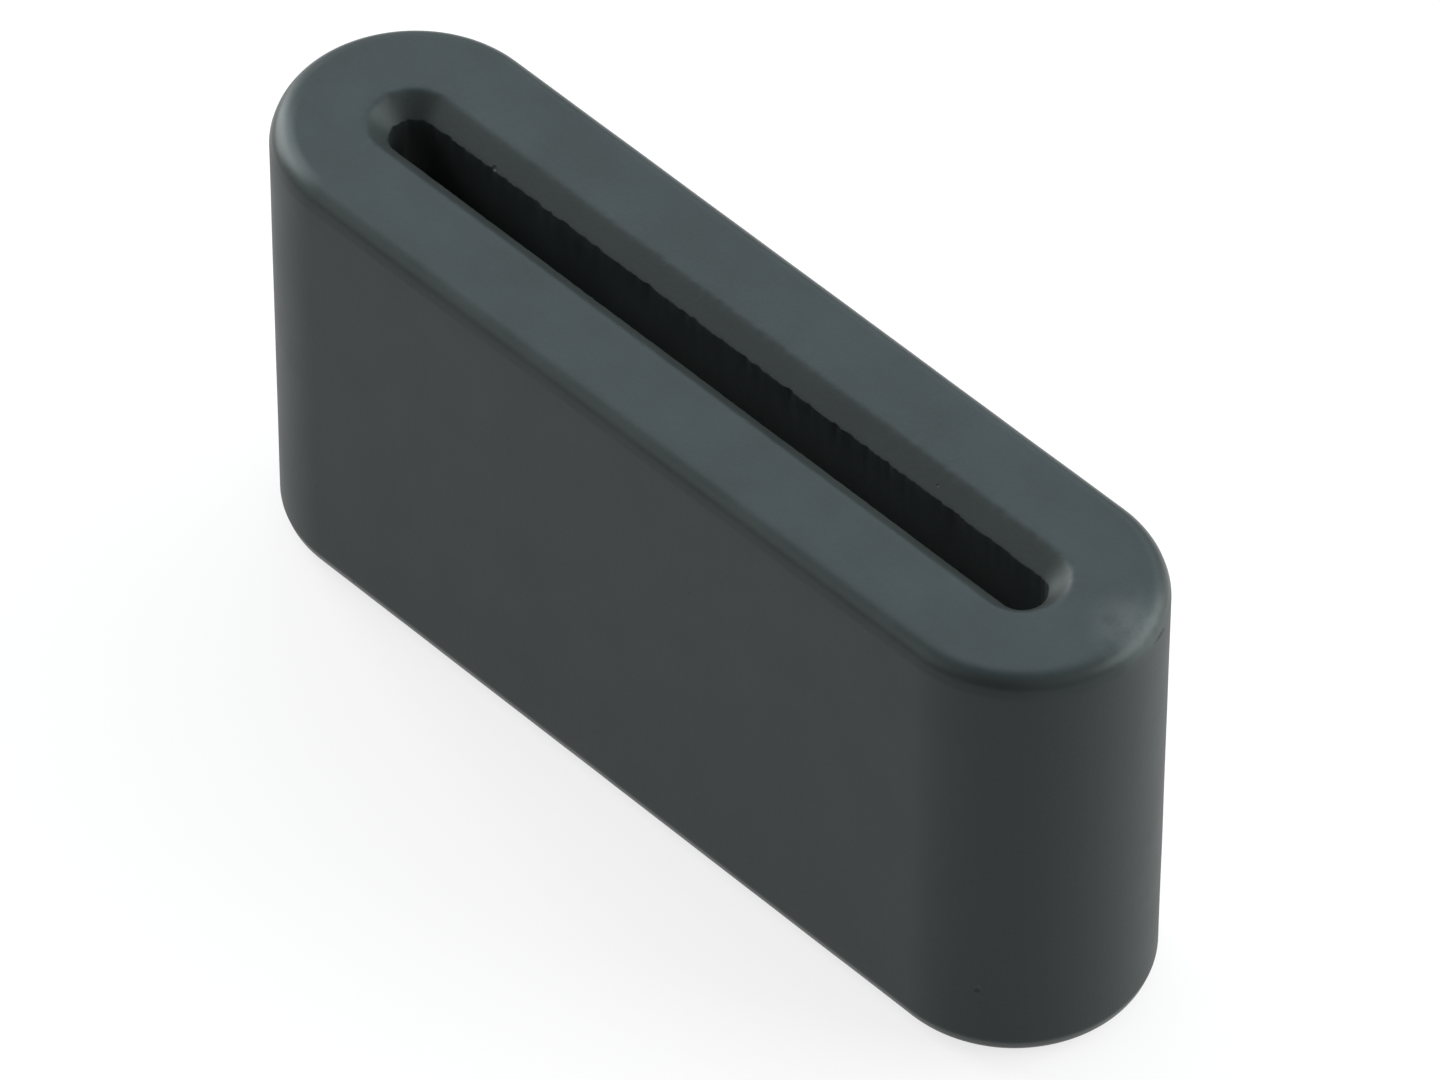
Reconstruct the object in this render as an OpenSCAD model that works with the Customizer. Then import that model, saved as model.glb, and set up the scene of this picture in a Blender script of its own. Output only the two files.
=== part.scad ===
// Flat-cable ferrite core: one oval ring of ferrite, pressed and fired as a single piece. A slot for
// a ribbon cable runs through its height. Both rims of the block are rounded, and both mouths of the
// slot are flared so that the cable slides in without being cut.
// It stands on an end face: length along X, width along Y, the cable along Z. Millimetres.

/* [Oval block] */
// Length of the oval, over its round ends
core_len = 25.4; // [23.5:0.1:60]
// Width of the oval, which is also the diameter of its ends
core_w = 6.4; // [4.5:0.1:16]
// Height from end face to end face, along the cable
core_h = 12; // [3:0.1:40]
// Radius of the rounded rim round each end face
rim_r = 0.5; // [0.1:0.05:1.5]

/* [Cable slot] */
// Length of the slot, over its round ends: the widest cable and its clearance
slot_len = 20.15; // [5:0.05:22]
// Width of the slot: the thickest cable and its clearance
slot_w = 1.15; // [0.5:0.05:2.5]
// Width and depth of the 45 degree flare at each mouth
flare = 0.475; // [0.1:0.025:1]

/* [Hidden] */
// Fineness of the round faces
$fn = 96;
// Fired ferrite: a dark, slightly blue grey
ferrite_grey = [0.28, 0.31, 0.32];
// Distance between the centres of the block's round ends
core_run = core_len - core_w;
// Distance between the centres of the slot's round ends
slot_run = slot_len - slot_w;
// How far the slot's cut runs past each end face
cut_past = 1;

// Carries an upright half section round an oval, whose end centres lie run apart. The section's x is
// the distance from the oval's middle line and its y is the height. Each side of the oval is a straight
// wall, followed by half a turn round the end.
module sweep_oval(run) {
    for (side = [0, 180])
        rotate(side) {
            translate([-run / 2, 0, 0])
                rotate([90, 0, 90])
                    linear_extrude(run)
                        children();
            translate([run / 2, 0, 0])
                rotate(-90)
                    rotate_extrude(angle = 180)
                        children();
        }
}

// Half of the solid block's section: its outer corners are rounded to the rim's radius.
module block_half_section() {
    half_w = core_w / 2;
    square([half_w - rim_r, core_h]);
    translate([0, rim_r])
        square([half_w, core_h - 2 * rim_r]);
    for (rim_z = [rim_r, core_h - rim_r])
        translate([half_w - rim_r, rim_z])
            circle(rim_r);
}

// Half of the slot's section: upright walls that open out at 45 degrees at both mouths.
module slot_half_section() {
    half_w = slot_w / 2;
    cut_half_w = half_w + flare + cut_past;
    polygon([
        [0, -cut_past],
        [cut_half_w, -cut_past],
        [half_w, flare],
        [half_w, core_h - flare],
        [cut_half_w, core_h + cut_past],
        [0, core_h + cut_past]
    ]);
}

// The whole core: the oval block with the flared slot cut through it.
module ferrite_core() {
    color(ferrite_grey)
        difference() {
            sweep_oval(core_run)
                block_half_section();
            sweep_oval(slot_run)
                slot_half_section();
        }
}

ferrite_core();
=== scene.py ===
# %% [markdown]
# A flat-cable ferrite core
#
# The real object is a single piece of ferrite, a dark magnetic ceramic. Powder is pressed in a die to an
# oval block with a narrow slot through it, and the block is fired until it is hard. A ribbon cable runs
# through the slot, and the ferrite round it damps the cable's high-frequency noise.
#
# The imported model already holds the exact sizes. This lesson builds the fired look round it: soft edges,
# the faint crease that the press tools leave, the crumbled edges of the slot and a satin, mottled skin.

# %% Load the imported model
import math

import bpy
import numpy as np
from mathutils import Matrix, Vector


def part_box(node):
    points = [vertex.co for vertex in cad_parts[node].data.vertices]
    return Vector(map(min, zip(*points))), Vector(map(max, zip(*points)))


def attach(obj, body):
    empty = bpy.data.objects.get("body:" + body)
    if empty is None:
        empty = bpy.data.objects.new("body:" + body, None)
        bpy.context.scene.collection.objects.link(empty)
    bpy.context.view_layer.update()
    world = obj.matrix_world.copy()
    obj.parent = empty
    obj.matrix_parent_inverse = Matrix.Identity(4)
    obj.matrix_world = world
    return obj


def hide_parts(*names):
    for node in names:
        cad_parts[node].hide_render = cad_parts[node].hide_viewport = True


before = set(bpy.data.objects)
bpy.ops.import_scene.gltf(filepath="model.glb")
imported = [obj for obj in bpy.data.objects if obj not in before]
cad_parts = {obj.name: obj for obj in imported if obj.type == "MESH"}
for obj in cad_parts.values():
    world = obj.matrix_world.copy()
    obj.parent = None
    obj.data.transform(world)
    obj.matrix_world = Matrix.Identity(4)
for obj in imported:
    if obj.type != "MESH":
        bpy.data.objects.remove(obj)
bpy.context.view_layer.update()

MM = 0.001

# %% [markdown]
# Read the sizes off the model
#
# A finish that is typed in by hand no longer fits when the part changes. So every main size is measured on
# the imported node. Between the round ends the walls are straight, and there a corner's distance from the
# middle plane tells which wall it is on: the nearest ones are the slot's, and the furthest ones are the
# outer side's.

# %% Measure the core
HAIR = 0.001 * MM

core_low, core_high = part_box("ferrite_core")
width = core_high.y - core_low.y
height = core_high.z

corners = np.array([vertex.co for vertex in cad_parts["ferrite_core"].data.vertices])
from_centre = np.abs(corners[:, 0])
from_middle = np.abs(corners[:, 1])
half_run = float(from_centre.min())
is_straight = from_centre < half_run + HAIR
is_upper_face = is_straight & (corners[:, 2] > height - HAIR)
is_outer_side = is_straight & (from_middle > width / 2 - HAIR)

slot_width = 2 * float(from_middle[is_straight].min())
flare = float(from_middle[is_upper_face].min()) - slot_width / 2
rim_radius = height - float(corners[is_outer_side, 2].max())
main_sizes = {
    "Length": 2 * half_run + width,
    "Width": width,
    "Height": height,
    "Rim Radius": rim_radius,
    "Slot Width": slot_width,
    "Flare": flare,
}
for name, value in main_sizes.items():
    print(f"{name}: {value / MM:.3f} mm")

# %% [markdown]
# Node trees written as text
#
# The body and its finish are both node trees. Placing dozens of nodes by hand hides the sums that they do,
# so two small classes let the script read like the sums. A `Wire` stands for one output of a node.
# Arithmetic on wires adds Math nodes, also where the wire is on the right, as in `1 - mask`.

# %% Wires
def operator(operation, reflected=False):
    """A Python operator that adds a Math node. The reflected form has the wire on the right."""
    def apply(wire, other):
        first, second = (other, wire) if reflected else (wire, other)
        return wire.graph.add("ShaderNodeMath", {"operation": operation}, {0: first, 1: second})
    return apply


class Wire:
    """One output of a node. Sums with numbers or other wires become Math nodes in the same tree."""

    def __init__(self, graph, socket):
        self.graph = graph
        self.socket = socket

    __add__ = operator("ADD")
    __radd__ = operator("ADD", reflected=True)
    __sub__ = operator("SUBTRACT")
    __rsub__ = operator("SUBTRACT", reflected=True)
    __mul__ = operator("MULTIPLY")
    __rmul__ = operator("MULTIPLY", reflected=True)
    __truediv__ = operator("DIVIDE")
    __rtruediv__ = operator("DIVIDE", reflected=True)
    __pow__ = operator("POWER")

    def __abs__(self):
        return self.graph.add("ShaderNodeMath", {"operation": "ABSOLUTE"}, {0: self})

    def other(self, name):
        """Another output of the same node."""
        return Wire(self.graph, self.socket.node.outputs[name])


print("wires take + - * / ** and abs")

# %% [markdown]
# A `Graph` adds any other node, from its type, its settings and its sockets. The settings come first,
# because a setting such as the data type decides which sockets a node has. A socket that joins several
# wires, like the one of Join Geometry, takes a list of them.

# %% Graphs
class Graph:
    """A node tree in the making."""

    def __init__(self, tree):
        self.tree = tree

    def add(self, kind, settings=None, sockets=None, out=0):
        """Adds a node with its settings, then a value or a wire for each socket. Returns one output."""
        node = self.tree.nodes.new(kind)
        for name, value in (settings or {}).items():
            if name == "choices":
                while len(node.index_switch_items) < value:
                    node.index_switch_items.new()
            else:
                setattr(node, name, value)
        for name, value in (sockets or {}).items():
            for one in value if isinstance(value, list) else [value]:
                if isinstance(one, Wire):
                    self.tree.links.new(one.socket, node.inputs[name])
                else:
                    node.inputs[name].default_value = one
        return Wire(self, node.outputs[out]) if node.outputs else None


print("graphs take any node")

# %% [markdown]
# The body: one section swept round one oval
#
# On the real core the wall is equally thick all the way round, because the slot is an oval inside an oval.
# So the whole body is one upright section of that wall, carried round an oval path. It could also be an
# extruded outline with bevels, but a bevel on such a form gives uneven faces at the round ends. In
# Geometry Nodes the section stays a short list of corners, each with its own rounding, and every size is a
# named input.

# %% Name the tree's inputs
body_sizes = {
    **main_sizes,
    "Mouth Softness": 0.25 * MM,
    "Throat Softness": 0.06 * MM,
    "Crease Radius": 0.45 * MM,
    "Ring Step": 0.09 * MM,
    "Wall Cuts": 13.0,
    "Wave Length": 2.5 * MM,
    "Wave Height": 0.006 * MM,
    "Fray Length": 0.35 * MM,
    "Mouth Fray": 0.025 * MM,
    "Throat Fray": 0.1 * MM,
}
body = Graph(bpy.data.node_groups.new("pressed ferrite body", "GeometryNodeTree"))


def tree_input(name, kind):
    """Adds a named input to the body's tree. Returns the identifier by which a modifier sets it."""
    return body.tree.interface.new_socket(name, in_out="INPUT", socket_type="NodeSocket" + kind).identifier


tree_input("Flaws", "Geometry")
input_ids = {name: tree_input(name, "Float") for name in body_sizes}
input_ids["Seed"] = tree_input("Seed", "Int")
input_ids["Skin"] = tree_input("Skin", "Material")
body.tree.interface.new_socket("Body", in_out="OUTPUT", socket_type="NodeSocketGeometry")

given = body.add("NodeGroupInput")
size = {name: given.other(name) for name in body_sizes}
print("tree inputs:", ", ".join(input_ids))

# %% [markdown]
# The oval path
#
# An oval with flat sides is a rectangle whose corners are rounded until its short sides are gone.
# Resampling it gives evenly spaced points, and each of them becomes one ring of the body.

# %% Draw the oval
ARC_POINTS = 48


def oval(half_width):
    """An oval round the middle of the core, at the given distance from its middle line."""
    end_centres_apart = size["Length"] - size["Width"]
    rectangle = body.add(
        "GeometryNodeCurvePrimitiveQuadrilateral",
        {"mode": "RECTANGLE"},
        {"Width": end_centres_apart + 2 * half_width, "Height": 2 * half_width},
    )
    return body.add(
        "GeometryNodeFilletCurve",
        {"mode": "POLY"},
        {"Curve": rectangle, "Count": ARC_POINTS, "Radius": half_width, "Limit Radius": True},
    )


def vector(x, y, z):
    """Three numbers or wires as one vector."""
    return body.add("ShaderNodeCombineXYZ", None, {"X": x, "Y": y, "Z": z})


middle_of_wall = (size["Width"] + size["Slot Width"]) / 4
path = body.add(
    "GeometryNodeResampleCurve",
    {"mode": "LENGTH"},
    {"Curve": oval(middle_of_wall), "Length": size["Ring Step"]},
)
raised_path = body.add(
    "GeometryNodeTransform", None, {"Geometry": path, "Translation": vector(0, 0, size["Height"])}
)
print("path drawn through the middle of the wall, a ring every", body_sizes["Ring Step"] / MM, "mm")

# %% [markdown]
# The section of the wall
#
# The corners go once round the wall. The rims of both end faces have a large rounding. A punch presses
# each rim and a die forms the side, and a punch can't end in a feather edge, so the rim meets the side at
# a slight lean with a faint crease. The flared mouth and the throat of the slot only have slightly soft
# edges. Curve to Mesh lays the section with its y pointing down, so y is the depth below the upper end
# face.
#
# The last two columns are marks. The edges of the slot crumble later on, and the marks tell where those
# edges are. Along the outline a mark fades from one corner to the next. The two throats have marks of
# opposite sign, so that the wall between them passes through zero.

# %% List the corners of the section
RIM_LEAN = math.radians(17)
RIM_POINTS = 14
SOFT_POINTS = 4

half_wall = (size["Width"] - size["Slot Width"]) / 4
slot_wall = half_wall * -1
mouth_edge = slot_wall + size["Flare"]
rim = size["Rim Radius"]
rim_corner = half_wall - rim * math.tan(RIM_LEAN)
rim_round = rim * (1 - math.tan(RIM_LEAN)) / math.tan(math.pi / 4 - RIM_LEAN / 2)
crease = size["Crease Radius"]
soft_mouth = size["Mouth Softness"]
soft_throat = size["Throat Softness"]
bottom = size["Height"]
section_corners = [
    (rim_corner, 0, rim_round, RIM_POINTS, 0, 0),
    (half_wall, rim, crease, SOFT_POINTS, 0, 0),
    (half_wall, bottom - rim, crease, SOFT_POINTS, 0, 0),
    (rim_corner, bottom, rim_round, RIM_POINTS, 0, 0),
    (mouth_edge, bottom, soft_mouth, SOFT_POINTS, 1, 0),
    (slot_wall, bottom - size["Flare"], soft_throat, SOFT_POINTS, 0, -1),
    (slot_wall, size["Flare"], soft_throat, SOFT_POINTS, 0, 1),
    (mouth_edge, 0, soft_mouth, SOFT_POINTS, 1, 0),
]
outs, downs, radii, counts, mouth_marks, throat_marks = zip(*section_corners)
print("section has", len(section_corners), "corners")

# %% [markdown]
# The outline starts as a line with one point for each corner. An Index Switch gives each point its own
# place, marks and rounding, and Fillet Curve rounds it. A curve drawn by hand could hold the same corners,
# but its points would be plain numbers, while these follow the tree's inputs.

# %% Draw the section
corner_number = body.add("GeometryNodeInputIndex")


def by_corner(data_type, values):
    """Gives each corner of the section its own value."""
    sockets = {"Index": corner_number}
    for number, value in enumerate(values):
        sockets[number + 1] = value
    return body.add("GeometryNodeIndexSwitch", {"data_type": data_type, "choices": len(values)}, sockets)


def store(points, name, value):
    """Stores a number on each point."""
    return body.add(
        "GeometryNodeStoreNamedAttribute",
        {"data_type": "FLOAT", "domain": "POINT"},
        {"Geometry": points, "Name": name, "Value": value},
    )


line = body.add("GeometryNodeMeshLine", {"mode": "OFFSET"}, {"Count": len(section_corners)})
loose_corners = body.add("GeometryNodeMeshToCurve", None, {"Mesh": line})
closed_line = body.add("GeometryNodeSetSplineCyclic", None, {"Geometry": loose_corners, "Cyclic": True})
places = by_corner("VECTOR", [vector(out, down, 0) for out, down in zip(outs, downs)])
outline = body.add("GeometryNodeSetPosition", None, {"Geometry": closed_line, "Position": places})
marked = store(outline, "mouth", by_corner("FLOAT", mouth_marks))
marked = store(marked, "throat", by_corner("FLOAT", throat_marks))
rounded = body.add(
    "GeometryNodeFilletCurve",
    {"mode": "POLY"},
    {
        "Curve": marked,
        "Count": by_corner("INT", counts),
        "Radius": by_corner("FLOAT", radii),
        "Limit Radius": True,
    },
)
print("section rounded with", sum(counts), "points")

# %% [markdown]
# The sweep
#
# Curve to Mesh carries the section round the oval. Before that, its straight stretches are cut into
# shorter ones, because the surface is about to be moved a little, and a face can't bend. The number of
# cuts follows the cube root of a stretch's length. So the narrow flares, whose edges crumble, get finer
# steps than the tall walls, and the tiny steps within a rounding get none.

# %% Sweep the section round the oval
CUTS_ROOT = 3
CUTS_SPARED = 4.5


def of_vectors(operation, first, second=(0, 0, 0), out="Vector"):
    """A Vector Math node."""
    return first.graph.add("ShaderNodeVectorMath", {"operation": operation}, {0: first, 1: second}, out=out)


here = body.add("GeometryNodeInputPosition")
next_point = body.add("GeometryNodeOffsetPointInCurve", None, {"Offset": 1}, out="Point Index")
next_place = body.add(
    "GeometryNodeFieldAtIndex", {"data_type": "FLOAT_VECTOR"}, {"Value": here, "Index": next_point}
)
stretch = of_vectors("DISTANCE", here, next_place, out="Value")
cuts = size["Wall Cuts"] * (stretch / MM) ** (1 / CUTS_ROOT) - CUTS_SPARED
fine_section = body.add("GeometryNodeSubdivideCurve", None, {"Curve": rounded, "Cuts": cuts})
swept = body.add("GeometryNodeCurveToMesh", None, {"Curve": raised_path, "Profile Curve": fine_section})
print("section swept round the oval")

# %% [markdown]
# Waves and crumbled edges
#
# Pressed powder shrinks by up to a fifth when it is fired, never quite evenly, so the walls of a real core
# are very slightly wavy. That is far too small to see as a shape, but it makes reflections soft. Handling
# then wears the slot: its mouth gets small dents, and the sharp edge of its throat crumbles. A bump
# texture could shade both, but the edges would stay straight, so the points themselves are moved.
#
# Waves and dents only go inwards, which keeps the core within its measured size. The throat's edge wanders
# up and down within the slope of the flare, so that the flare stays even right up to it.

# %% Let the walls warp and the edges crumble
MARK_POWER = 16
WAVE_DETAIL = 1.0
FRAY_DETAIL = 3.0
THROAT_REST = 0.25


def remembered(name):
    """A number that was stored on each point."""
    return body.add("GeometryNodeInputNamedAttribute", {"data_type": "FLOAT"}, {"Name": name})


def ripple(wave_length, detail):
    """Noise from about -1 to 1."""
    noise = body.add(
        "ShaderNodeTexNoise", {"noise_dimensions": "3D"}, {"Scale": 1 / wave_length, "Detail": detail}
    )
    return (noise - 0.5) * 2


def scaled(direction, amount):
    """A vector times a number."""
    return body.add("ShaderNodeVectorMath", {"operation": "SCALE"}, {0: direction, "Scale": amount})


throat_mark = remembered("throat")
at_mouth = remembered("mouth") ** MARK_POWER
at_throat = abs(throat_mark) ** MARK_POWER
crumbling = abs(ripple(size["Fray Length"], FRAY_DETAIL))
mouth_loss = crumbling * size["Mouth Fray"] * at_mouth
throat_loss = (crumbling - THROAT_REST) * size["Throat Fray"] * at_throat
wave = (ripple(size["Wave Length"], WAVE_DETAIL) - 1) * size["Wave Height"]

outwards = body.add("GeometryNodeInputNormal")
into_wall = of_vectors("NORMALIZE", of_vectors("MULTIPLY", outwards, (-1, -1, 0)))
up_the_flare = of_vectors("ADD", into_wall, vector(0, 0, throat_mark))
warp = of_vectors("ADD", scaled(outwards, wave - mouth_loss), scaled(up_the_flare, throat_loss))
warped = body.add("GeometryNodeSetPosition", None, {"Geometry": swept, "Offset": warp})
print("walls warped and slot edges crumbled")

# %% [markdown]
# Chips and pits
#
# Fired ferrite is as brittle as glass. Where it is thin, along the slot and the rims, knocks have broken
# small flakes away, and here and there a pore or a lost grain leaves a pit. A flake leaves a shallow
# scoop, so each flaw is a lumpy ball that is cut out of the surface. The flaws that show well have places
# of their own: a place on the surface, how far the flaw reaches round it and how deep it goes, all in
# millimetres. They are the points of a small mesh, because a tree reads points and their attributes
# directly.

# %% Place the flaws that show
placed_flaws = [
    ("chip in the front mouth edge", (-1.05, -1.05, 12.0), 0.17, 0.06),
    ("flake beside that chip", (-1.50, -0.95, 11.9), 0.12, 0.04),
    ("flake at the back of the throat", (-7.55, 0.60, 11.55), 0.09, 0.04),
    ("scar in the slot wall, start", (0.12, 0.575, 10.78), 0.09, 0.012),
    ("scar in the slot wall, middle", (0.28, 0.575, 10.76), 0.13, 0.02),
    ("scar in the slot wall, end", (0.46, 0.575, 10.78), 0.11, 0.016),
    ("pit low on the end", (11.14, -2.75, 2.13), 0.13, 0.035),
    ("second pit below it", (11.19, -2.72, 1.75), 0.08, 0.015),
    ("nick under the rim, start", (12.59, 0.86, 11.50), 0.07, 0.02),
    ("nick under the rim, second", (12.56, 0.95, 11.49), 0.08, 0.03),
    ("nick under the rim, third", (12.52, 1.06, 11.49), 0.09, 0.035),
    ("nick under the rim, fourth", (12.48, 1.16, 11.48), 0.09, 0.04),
    ("nick under the rim, fifth", (12.43, 1.26, 11.47), 0.08, 0.03),
    ("nick under the rim, end", (12.38, 1.36, 11.46), 0.07, 0.02),
    ("nick in the lower rim", (-8.30, -3.20, 0.45), 0.16, 0.04),
]
flaw_names, flaw_places, flaw_reaches, flaw_depths = zip(*placed_flaws)
flaw_mesh = bpy.data.meshes.new("flaws")
flaw_mesh.from_pydata([Vector(spot) * MM for spot in flaw_places], [], [])
for name, values in (("reach", flaw_reaches), ("depth", flaw_depths)):
    attribute = flaw_mesh.attributes.new(name, "FLOAT", "POINT")
    attribute.data.foreach_set("value", [value * MM for value in values])
print("placed flaws:", len(flaw_names))

# %% [markdown]
# Scattered chips
#
# The other flaws are too small and too many to list one by one. Points along the mouths and along the
# creases get a chip each, and a few pores lie anywhere. Every point takes a random step along its edge and
# a random reach, mostly near the smallest, because most real chips are tiny. Each draw adds its own key to
# one fixed seed, so no two draws go together and the core comes out the same on every run.

# %% Draw sizes by chance
SMALL_POWER = 2
FLAW_SHALLOWNESS = 0.3

seed = given.other("Seed")


def chance(low, high, key):
    """A random number for each point."""
    return body.add(
        "FunctionNodeRandomValue", {"data_type": "FLOAT"}, {2: low, 3: high, "Seed": seed + key}, out=1
    )


def sized(points, smallest, largest, key):
    """Gives points a reach, mostly near the smallest, and a depth that is a share of it."""
    reach = smallest + (largest - smallest) * chance(0, 1, key) ** SMALL_POWER
    return store(store(points, "reach", reach), "depth", reach * FLAW_SHALLOWNESS)


print("flaws are", FLAW_SHALLOWNESS, "times as deep as they reach")

# %% [markdown]
# An edge of the core is an oval again, so the same helper that drew the path gives the points for its
# chips. Both end faces have the same edges, one of them at its distance below the top and the other as far
# above the floor.

# %% Scatter small chips along the edges
EDGE_CHIPS = 30
CHIP_SLIDE = 0.5 * MM
SMALLEST_CHIP = 0.03 * MM
MOUTH_CHIP = 0.07 * MM
CREASE_CHIP = 0.05 * MM
MOUTH_KEY = 100
CREASE_KEY = 300
LOWER_KEY = 10


def edge_chips(half_width, drop, largest, key):
    """Chips along an oval edge of both end faces, drop below the upper one and above the lower one."""
    chips = []
    for level, side_key in ((size["Height"] - drop, key), (drop, key + LOWER_KEY)):
        points = body.add(
            "GeometryNodeCurveToPoints", {"mode": "COUNT"}, {"Curve": oval(half_width), "Count": EDGE_CHIPS}
        )
        slide = scaled(points.other("Tangent"), chance(-CHIP_SLIDE, CHIP_SLIDE, side_key))
        offset = of_vectors("ADD", slide, vector(0, 0, level))
        moved = body.add("GeometryNodeSetPosition", None, {"Geometry": points, "Offset": offset})
        chips.append(sized(moved, SMALLEST_CHIP, largest, side_key + 1))
    return chips


mouth_chips = edge_chips(size["Slot Width"] / 2 + size["Flare"], 0, MOUTH_CHIP, MOUTH_KEY)
crease_chips = edge_chips(size["Width"] / 2, rim, CREASE_CHIP, CREASE_KEY)
print("chips along each edge:", EDGE_CHIPS)

# %% [markdown]
# Pores were bubbles or lost grains in the powder, so they lie anywhere. Distribute Points on Faces drops
# them on the swept body. Joined with the chips and the placed flaws, they form one cloud of points.

# %% Scatter pores and gather all flaws
PORES_PER_AREA = 0.01 / MM**2
SMALLEST_PORE = 0.02 * MM
LARGEST_PORE = 0.05 * MM
PORE_KEY = 400

spots = body.add(
    "GeometryNodeDistributePointsOnFaces",
    {"distribute_method": "RANDOM"},
    {"Mesh": warped, "Density": PORES_PER_AREA, "Seed": seed},
)
pores = sized(spots, SMALLEST_PORE, LARGEST_PORE, PORE_KEY)
placed = body.add("GeometryNodeMeshToPoints", None, {"Mesh": given.other("Flaws")})
all_flaws = body.add(
    "GeometryNodeJoinGeometry", None, {"Geometry": [placed, pores, *mouth_chips, *crease_chips]}
)
print("pores on each square centimetre: about", round(PORES_PER_AREA * 0.01**2, 1))

# %% [markdown]
# Cutting the flaws out
#
# The radius of a ball that leaves a scoop of a given reach and depth follows from Pythagoras, and its
# centre stands outside the surface by that radius less the depth. Noise makes the ball lumpy, each copy is
# turned at random, and one Boolean cuts them all away. Sculpting could do the same, but not twice in the
# same way.

# %% Cut the flaws out of the body
LUMP_SIZE = 0.9
LUMP_DETAIL = 2.0
LUMPINESS = 0.35
BALL_DIVISIONS = 2
TURN_KEY = 500

reach = remembered("reach")
depth = remembered("depth")
ball_radius = (reach * reach + depth * depth) / (2 * depth)
surface_normal = body.add(
    "GeometryNodeSampleNearestSurface", {"data_type": "FLOAT_VECTOR"}, {"Mesh": warped, "Value": outwards}
)
lift = scaled(surface_normal, ball_radius - depth)
ball_centres = body.add("GeometryNodeSetPosition", None, {"Geometry": all_flaws, "Offset": lift})

ball = body.add("GeometryNodeMeshIcoSphere", None, {"Radius": 1.0, "Subdivisions": BALL_DIVISIONS})
lumps = body.add(
    "ShaderNodeTexNoise", {"noise_dimensions": "3D"}, {"Scale": 1 / LUMP_SIZE, "Detail": LUMP_DETAIL}
)
bulge = scaled(outwards, (lumps - 0.5) * LUMPINESS)
lumpy_ball = body.add("GeometryNodeSetPosition", None, {"Geometry": ball, "Offset": bulge})
turns = body.add(
    "FunctionNodeRandomValue", {"data_type": "FLOAT_VECTOR"}, {1: (math.tau,) * 3, "Seed": seed + TURN_KEY}
)
cutters = body.add(
    "GeometryNodeInstanceOnPoints",
    None,
    {
        "Points": ball_centres,
        "Instance": lumpy_ball,
        "Rotation": body.add("FunctionNodeEulerToRotation", None, {"Euler": turns}),
        "Scale": ball_radius,
    },
)
chipped = body.add(
    "GeometryNodeMeshBoolean",
    {"operation": "DIFFERENCE", "solver": "MANIFOLD"},
    {"Mesh 1": warped, "Mesh 2": cutters},
)
print("cutters are balls with lumps of up to", LUMPINESS / 2, "of their radius")

# %% [markdown]
# Where two cuts meet, a crumb can be left that hangs in the air. The body has tens of thousands of
# corners, so an island with less than a thousand is such a crumb, and it is deleted.

# %% Clear away loose crumbs
CRUMB_CORNERS = 1000

island = body.add("GeometryNodeInputMeshIsland")
island_corners = body.add(
    "GeometryNodeAccumulateField",
    {"data_type": "INT", "domain": "POINT"},
    {"Value": 1, "Group ID": island},
    out="Total",
)
is_crumb = body.add(
    "FunctionNodeCompare",
    {"data_type": "INT", "operation": "LESS_THAN"},
    {2: island_corners, 3: CRUMB_CORNERS},
)
clean = body.add(
    "GeometryNodeDeleteGeometry", {"domain": "POINT"}, {"Geometry": chipped, "Selection": is_crumb}
)
print("islands below", CRUMB_CORNERS, "corners cleared away")

# %% [markdown]
# The body is shaded smooth, but broken ferrite has sharp edges. So the lines where a cut meets the
# surface, and all steep edges, are set sharp. The marks have done their work and are removed. Realize
# Instances and Set Material come last, because the export drops instances and the new faces have no
# material yet.

# %% Finish the tree
SHARP_ANGLE = math.radians(32)

unmarked = clean
for name in ("mouth", "throat"):
    unmarked = body.add("GeometryNodeRemoveAttribute", None, {"Geometry": unmarked, "Name": name})
smooth = body.add(
    "GeometryNodeSetShadeSmooth", {"domain": "FACE"}, {"Geometry": unmarked, "Shade Smooth": True}
)
edge_angle = body.add("GeometryNodeInputMeshEdgeAngle")
is_steep = body.add(
    "FunctionNodeCompare",
    {"data_type": "FLOAT", "operation": "GREATER_THAN"},
    {0: edge_angle, 1: SHARP_ANGLE},
)
is_sharp = body.add(
    "FunctionNodeBooleanMath", {"operation": "OR"}, {0: is_steep, 1: chipped.other("Intersecting Edges")}
)
creased = body.add(
    "GeometryNodeSetShadeSmooth",
    {"domain": "EDGE"},
    {"Geometry": smooth, "Selection": is_sharp, "Shade Smooth": False},
)
realized = body.add("GeometryNodeRealizeInstances", None, {"Geometry": creased})
skinned = body.add("GeometryNodeSetMaterial", None, {"Geometry": realized, "Material": given.other("Skin")})
body.add("NodeGroupOutput", None, {0: skinned})
print("body tree has", len(body.tree.nodes), "nodes")

# %% [markdown]
# The fired skin
#
# Fired ferrite is a nearly black, slightly blue grey with a satin sheen. Much of its variety comes from
# how it was made and handled: the punches leave the rims smoother, and handling wears the rims lighter.
# The rest is painted light. The end faces are painted a little bluer, a painted tint of the cool light that
# they mirror. The slot is painted paler, a painted glare that lifts its deep shade, and two rims carry
# painted highlights. Such marks follow the shape, so the first step works out from the Object coordinates
# how far a point lies from the middle line of the oval and from the nearer end face. A UV map could do the
# same, but would need seams.

# %% Find rims, end faces and slot
RIM_STARTS = 1.0
RIM_FULL = 0.6
PUNCH_ENDS = 1.2
PUNCH_FULL = 0.8
END_STARTS = 0.3
SLOT_FULL = 0.6
SLOT_GLARE_DEPTH = 1.5 * MM

ferrite = bpy.data.materials.new("fired ferrite")
ferrite.use_nodes = True
ferrite.node_tree.nodes.clear()
skin = Graph(ferrite.node_tree)
place = skin.add("ShaderNodeTexCoord", out="Object")


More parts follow.
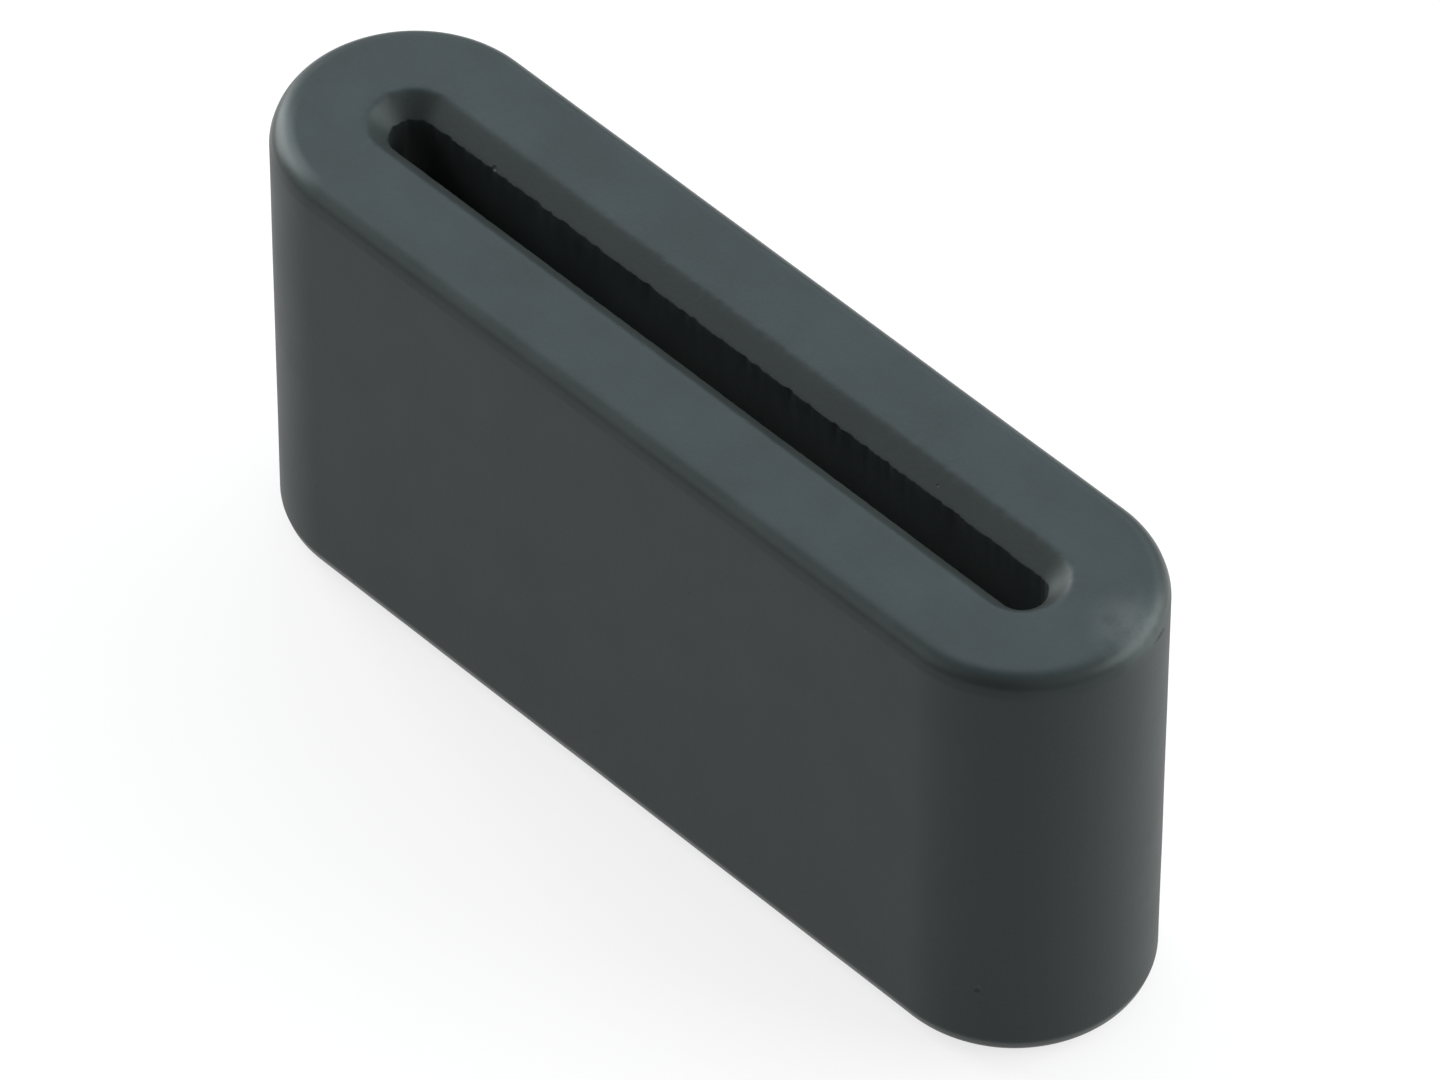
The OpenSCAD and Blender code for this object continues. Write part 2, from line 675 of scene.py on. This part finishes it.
def fade(value, start, end):
    """Rises smoothly from 0 at the start to 1 at the end."""
    return skin.add(
        "ShaderNodeMapRange",
        {"interpolation_type": "SMOOTHSTEP"},
        {"Value": value, "From Min": start, "From Max": end},
    )


x = skin.add("ShaderNodeSeparateXYZ", None, {"Vector": place}, out="X")
y = x.other("Y")
z = x.other("Z")
past_run = skin.add("ShaderNodeMath", {"operation": "MAXIMUM"}, {0: abs(x) - half_run, 1: 0})
from_middle_line = (past_run * past_run + y * y) ** 0.5
from_end_face = height / 2 - abs(z - height / 2)

from_outside = width / 2 - from_middle_line
near_outside = fade(from_outside, RIM_STARTS * rim_radius, RIM_FULL * rim_radius)
is_punched = fade(from_end_face, PUNCH_ENDS * rim_radius, PUNCH_FULL * rim_radius)
on_rim = near_outside * is_punched
on_end = fade(from_end_face, END_STARTS * rim_radius, 0)
near_slot = fade(from_middle_line, slot_width, SLOT_FULL * slot_width)
# Where the slot is painted paler: painted glare that lifts the shade deep in the slot.
in_slot = near_slot * fade(from_end_face, flare, flare + SLOT_GLARE_DEPTH)
print("rims, end faces and slot found with", len(skin.tree.nodes), "nodes")

# %% [markdown]
# Uneven tones
#
# The kiln is never equally hot everywhere, which gives soft blotches. The grain of the powder gives a fine
# speckle, and the die draws faint upright streaks down the sides as the block is pushed out of it. Each is
# a Noise texture at the size of the real mark, and the streaks are noise that is stretched upwards.

# %% Draw blotches, grains and streaks
BLOTCH_SIZE = 1.6 * MM
GRAIN_SIZE = 0.09 * MM
STREAK_SIZE = 0.2 * MM
STREAK_STRETCH = (1, 1, 0.03)


def noise(mark_size, detail=2.0, at=place):
    """Noise from 0 to 1 whose marks have about the given size."""
    return skin.add(
        "ShaderNodeTexNoise",
        {"noise_dimensions": "3D"},
        {"Vector": at, "Scale": 1 / mark_size, "Detail": detail},
    )


drawn_out = of_vectors("MULTIPLY", place, STREAK_STRETCH)
streaks = noise(STREAK_SIZE, at=drawn_out) - 0.5
blotches = noise(BLOTCH_SIZE) - 0.5
grains = noise(GRAIN_SIZE)
print("blotches of", BLOTCH_SIZE / MM, "mm, grains of", GRAIN_SIZE / MM, "mm")

# %% [markdown]
# Painted highlights on two rims
#
# The right end's rim has a rougher, patchy, scuffed spot, and it is painted pale: a painted highlight
# that broadens the highlight there. Its mask is the distance from one spot, broken up by noise. A stretch
# of the left rim is painted pale too, a painted highlight that widens the highlight of that rim. That mask
# is the distance from another spot, kept to the band in which the end face turns into the rim. Painted on
# an image, such marks could look the same, but the image would need a UV map with seams.

# %% Paint two highlights on the rims
SCUFF_HIGHLIGHT_PLACE = (12.2 * MM, 0.7 * MM, 11.95 * MM)
SCUFF_HIGHLIGHT_REACH = 1.3 * MM
SCUFF_PATCH_SIZE = 0.5 * MM
SCUFF_PATCH_DETAIL = 3.0
PATCH_STARTS = 0.1
PATCH_FULL = 0.6
LEFT_HIGHLIGHT_PLACE = (-11.0 * MM, -2.4 * MM, 12.0 * MM)
LEFT_HIGHLIGHT_REACH = 1.7 * MM
LEFT_HIGHLIGHT_CORE = 0.3
LEFT_HIGHLIGHT_STARTS = 1.3
LEFT_HIGHLIGHT_FULL = 0.9


def away_from(spot):
    """How far each point of the surface lies from one spot."""
    return of_vectors("DISTANCE", place, spot, out="Value")


patches = fade(noise(SCUFF_PATCH_SIZE, SCUFF_PATCH_DETAIL), PATCH_STARTS, PATCH_FULL)
# A rougher spot on the right rim, whose pale colour is a painted highlight.
scuff_and_highlight = fade(away_from(SCUFF_HIGHLIGHT_PLACE), SCUFF_HIGHLIGHT_REACH, 0) * patches
# The left rim's pale stretch is a painted highlight, kept to the band where the end face turns into the
# rim.
left_highlight_band = fade(from_outside, LEFT_HIGHLIGHT_STARTS * rim_radius, LEFT_HIGHLIGHT_FULL * rim_radius) * on_end
left_rim_highlight = fade(away_from(LEFT_HIGHLIGHT_PLACE), LEFT_HIGHLIGHT_REACH, LEFT_HIGHLIGHT_CORE * LEFT_HIGHLIGHT_REACH) * left_highlight_band
# Prints how far the two painted highlights reach round their spots.
print("scuff of", SCUFF_HIGHLIGHT_REACH / MM, "mm and rubbed rim of", LEFT_HIGHLIGHT_REACH / MM, "mm round their spots")

# %% [markdown]
# The colour
#
# The sides, the end faces and the painted highlights each have a grey of their own. The greys are blended
# with Mix nodes, because they are slightly blue, and a Math node would take that tint away. All the shades
# are then multiplied in at once, so that each stays in proportion to the dark grey below it.

# %% Mix the greys
SIDE_GREY = (0.021, 0.026, 0.025, 1)
# The end faces' bluer grey is a painted tint of the cool light that they mirror.
END_GREY = (0.022, 0.029, 0.031, 1)
# The pale grey of the painted highlights on the two rims.
HIGHLIGHT_GREY = (0.064, 0.075, 0.076, 1)
RIM_WEAR = 0.2
# Painted glare: the slot's deep shade is lifted by up to this share.
SLOT_PAINTED_GLARE = 1.2
BLOTCH_SHADE = 0.7
GRAIN_SHADE = 0.25
STREAK_SHADE = 0.12


def blend(share, first, second, mode="MIX"):
    """Blends two colours, or a colour and a wire."""
    return skin.add(
        "ShaderNodeMix", {"data_type": "RGBA", "blend_type": mode}, {0: share, 6: first, 7: second}, out=2
    )


clean_grey = blend(scuff_and_highlight + left_rim_highlight, blend(on_end, SIDE_GREY, END_GREY), HIGHLIGHT_GREY)
# Handling lightens the rims, and painted glare lifts the shade in the slot.
rim_wear_and_slot_glare = RIM_WEAR * on_rim + SLOT_PAINTED_GLARE * in_slot
mottle = BLOTCH_SHADE * blotches + GRAIN_SHADE * (grains - 0.5) + STREAK_SHADE * streaks * (1 - is_punched)
grey = blend(1.0, clean_grey, 1 + rim_wear_and_slot_glare + mottle, "MULTIPLY")
print("greys mixed, up to", 1 + SLOT_PAINTED_GLARE, "times as pale in the slot")

# %% [markdown]
# The sheen
#
# How wide a highlight spreads tells satin from gloss. The polished punches leave the end faces smoother
# than the sides, and the rims smoothest of all, while a scuff is rough. The grain is a faint bump: real
# geometry of that size would need millions of faces. Its index of refraction is low for a ceramic, as the
# pores scatter part of the light before it is mirrored.

# %% Set the sheen
SIDE_ROUGHNESS = 0.52
END_ROUGHNESS = 0.47
RIM_ROUGHNESS = 0.38
SCUFF_ROUGHNESS = 0.15
BLOTCH_ROUGHNESS = 0.15
GRAIN_RELIEF = 0.003 * MM
FERRITE_IOR = 1.36
SHEEN_TINT = (0.86, 1.0, 1.0, 1)

polish = (RIM_ROUGHNESS - END_ROUGHNESS) * on_rim + (END_ROUGHNESS - SIDE_ROUGHNESS) * is_punched
roughness = SIDE_ROUGHNESS + polish + SCUFF_ROUGHNESS * scuff_and_highlight + BLOTCH_ROUGHNESS * blotches
bump = skin.add("ShaderNodeBump", None, {"Strength": 1.0, "Distance": GRAIN_RELIEF, "Height": grains})
surface = skin.add(
    "ShaderNodeBsdfPrincipled",
    None,
    {
        "Base Color": grey,
        "Roughness": roughness,
        "IOR": FERRITE_IOR,
        "Specular Tint": SHEEN_TINT,
        "Normal": bump,
    },
)
skin.add("ShaderNodeOutputMaterial", None, {"Surface": surface})
print("ferrite mixed with", len(skin.tree.nodes), "nodes")

# %% [markdown]
# From tree to mesh
#
# The mesh of placed flaws carries the modifier, and its result is taken as a plain mesh. A live modifier
# would show the same, but a plain mesh exports as it stands. A modifier knows its inputs by their
# identifiers, and they are set before the tree is first evaluated. The Boolean leaves an empty material
# slot in front of the skin's, which is taken out.

# %% Bake the body to a plain mesh
FLAW_SEED = 7

draft = bpy.data.objects.new("draft_body", flaw_mesh)
bpy.context.scene.collection.objects.link(draft)
modifier = draft.modifiers.new("pressed ferrite body", "NODES")
modifier.node_group = body.tree
for name, value in {**body_sizes, "Seed": FLAW_SEED, "Skin": ferrite}.items():
    modifier[input_ids[name]] = value

finished = draft.evaluated_get(bpy.context.evaluated_depsgraph_get())
core_mesh = bpy.data.meshes.new_from_object(finished)
draft.modifiers.remove(modifier)
bpy.data.objects.remove(draft)
bpy.data.meshes.remove(flaw_mesh)
core_mesh.name = "fired_core"
if core_mesh.materials[0] is None:
    core_mesh.materials.pop(index=0)
core = bpy.data.objects.new("fired_core", core_mesh)
bpy.context.scene.collection.objects.link(core)

triangles = sum(len(face.vertices) - 2 for face in core_mesh.polygons)
print("fired core:", len(core_mesh.vertices), "vertices,", triangles, "triangles")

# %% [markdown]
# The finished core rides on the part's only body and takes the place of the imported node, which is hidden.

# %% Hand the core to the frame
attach(core, "root")
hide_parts("ferrite_core")
print("fired_core stands for ferrite_core")

# %% [markdown]
# The studio
#
# The core stands on a white floor under soft light. A floor that is lit to pure white would need more
# light than the core can take. So most of its white is a glow of its own, only for what the camera sees
# and for what mirrors it, and the Light Path node tells those rays apart. The rest is lit, so the floor
# keeps the core's shadow.

# %% Lay the floor
FLOOR_SIDE = 3.0
FLOOR_GREY = 0.25
FLOOR_GLOW = 0.74

bpy.ops.mesh.primitive_plane_add(size=FLOOR_SIDE)
floor = bpy.context.object
floor.name = "floor"
white_floor = bpy.data.materials.new("white floor")
white_floor.use_nodes = True
white_floor.node_tree.nodes.clear()
paint = Graph(white_floor.node_tree)
is_camera = paint.add("ShaderNodeLightPath", out="Is Camera Ray")
is_mirror = is_camera.other("Is Glossy Ray")
is_through = is_camera.other("Is Transmission Ray")
lit = paint.add("ShaderNodeBsdfDiffuse", None, {"Color": (FLOOR_GREY, FLOOR_GREY, FLOOR_GREY, 1)})
glowing = paint.add(
    "ShaderNodeEmission", None, {"Strength": FLOOR_GLOW * (is_camera + is_mirror + is_through)}
)
both = paint.add("ShaderNodeAddShader", None, {0: lit, 1: glowing})
paint.add("ShaderNodeOutputMaterial", None, {"Surface": both})
floor.data.materials.append(white_floor)
print("floor:", FLOOR_SIDE, "m square")

# %% [markdown]
# The softboxes
#
# Dark satin is shaped by what it mirrors more than by the light that falls on it. Each softbox here is
# placed for one surface. The low one at the right draws the bright edge of the round end, and the large,
# slightly cool one behind lights the end face. The one at the left catches the left rim and the flare at
# the right end of the slot. The weak one in front and a faint fill lift the sides. Most of the camera's
# side stays dark, which gives the near end its dark band.

# %% Build a softbox
middle = Vector((0, 0, height / 2))


def direction(azimuth, elevation):
    """A unit vector. Azimuth turns from +X towards +Y, elevation is above the floor, in degrees."""
    around = math.radians(azimuth)
    up = math.radians(elevation)
    return Vector((math.cos(around) * math.cos(up), math.sin(around) * math.cos(up), math.sin(up)))


def softbox(name, azimuth, elevation, wide, tall, distance, glow, tint):
    """A soft panel that faces the core. Wide and tall are degrees as seen from it, a glow of 1 is white."""
    panel = bpy.data.lights.new(name, "AREA")
    panel.shape = "RECTANGLE"
    panel.size = 2 * distance * math.tan(math.radians(wide / 2))
    panel.size_y = 2 * distance * math.tan(math.radians(tall / 2))
    panel.energy = glow * math.pi * panel.size * panel.size_y
    panel.color = tint
    lamp = bpy.data.objects.new(name, panel)
    towards = direction(azimuth, elevation)
    lamp.location = middle + towards * distance
    lamp.rotation_euler = towards.to_track_quat("Z", "Y").to_euler()
    lamp.visible_camera = False
    bpy.context.scene.collection.objects.link(lamp)


print("softboxes face", [round(value / MM, 1) for value in middle], "mm")

# %% [markdown]
# Each row below gives a softbox its name, direction, apparent size, distance in metres, glow and tint. A
# near panel lights the side of the core that it faces more than the other, and a far one lights it evenly.
# The world adds a low, even grey, so that nothing falls to pure black.

# %% Light the core
WHITE = (1, 1, 1)
COOL_WHITE = (0.92, 1, 1.03)
STUDIO_GLOW = 0.25

softboxes = [
    ("right_softbox", 48, 22, 50, 36, 0.12, 5.3, WHITE),
    ("back_softbox", 115, 50, 76, 56, 0.2, 1.55, COOL_WHITE),
    ("left_softbox", 183, 23, 38, 46, 0.4, 6.0, WHITE),
    ("front_softbox", 236, 28, 40, 34, 0.4, 1.4, WHITE),
    ("fill_softbox", 5, 34, 50, 40, 0.14, 0.5, WHITE),
]
for settings in softboxes:
    softbox(*settings)
studio = bpy.data.worlds.new("studio")
studio.use_nodes = True
background = studio.node_tree.nodes["Background"]
background.inputs["Color"].default_value = (STUDIO_GLOW, STUDIO_GLOW, STUDIO_GLOW, 1)
bpy.context.scene.world = studio
print("softboxes:", ", ".join(settings[0] for settings in softboxes))

# %% [markdown]
# The camera
#
# The camera looks down on the long side and the right end with a long lens, which keeps parallel edges
# almost parallel. Its direction, distance and lens were found by laying the core's outline over a
# photograph. A Track To constraint would aim it too, but a matrix made of its own three axes also holds
# the slight roll.

# %% Set up the camera
CAMERA_AZIMUTH = -44.12
CAMERA_ELEVATION = 46.64
CAMERA_ROLL = math.radians(-0.15)
CAMERA_DISTANCE = 0.2917
CAMERA_LENS = 331.4
SENSOR_WIDTH = 36
CLIP_START = 0.01
AIM_RIGHT = 0.163 * MM
AIM_DOWN = 0.110 * MM

backwards = direction(CAMERA_AZIMUTH, CAMERA_ELEVATION)
level_right = (-backwards).cross(Vector((0, 0, 1))).normalized()
level_down = (-backwards).cross(level_right)
right = math.cos(CAMERA_ROLL) * level_right + math.sin(CAMERA_ROLL) * level_down
down = math.cos(CAMERA_ROLL) * level_down - math.sin(CAMERA_ROLL) * level_right

lens = bpy.data.cameras.new("camera")
lens.lens = CAMERA_LENS
lens.sensor_width = SENSOR_WIDTH
lens.clip_start = CLIP_START
camera = bpy.data.objects.new("camera", lens)
stand = middle + CAMERA_DISTANCE * backwards + AIM_RIGHT * right + AIM_DOWN * down
camera.matrix_world = Matrix.Translation(stand) @ Matrix((right, -down, backwards)).transposed().to_4x4()
bpy.context.scene.collection.objects.link(camera)
bpy.context.scene.camera = camera
bpy.context.scene.view_settings.view_transform = "Standard"
print("camera stands at", [round(value / MM, 1) for value in stand], "mm")
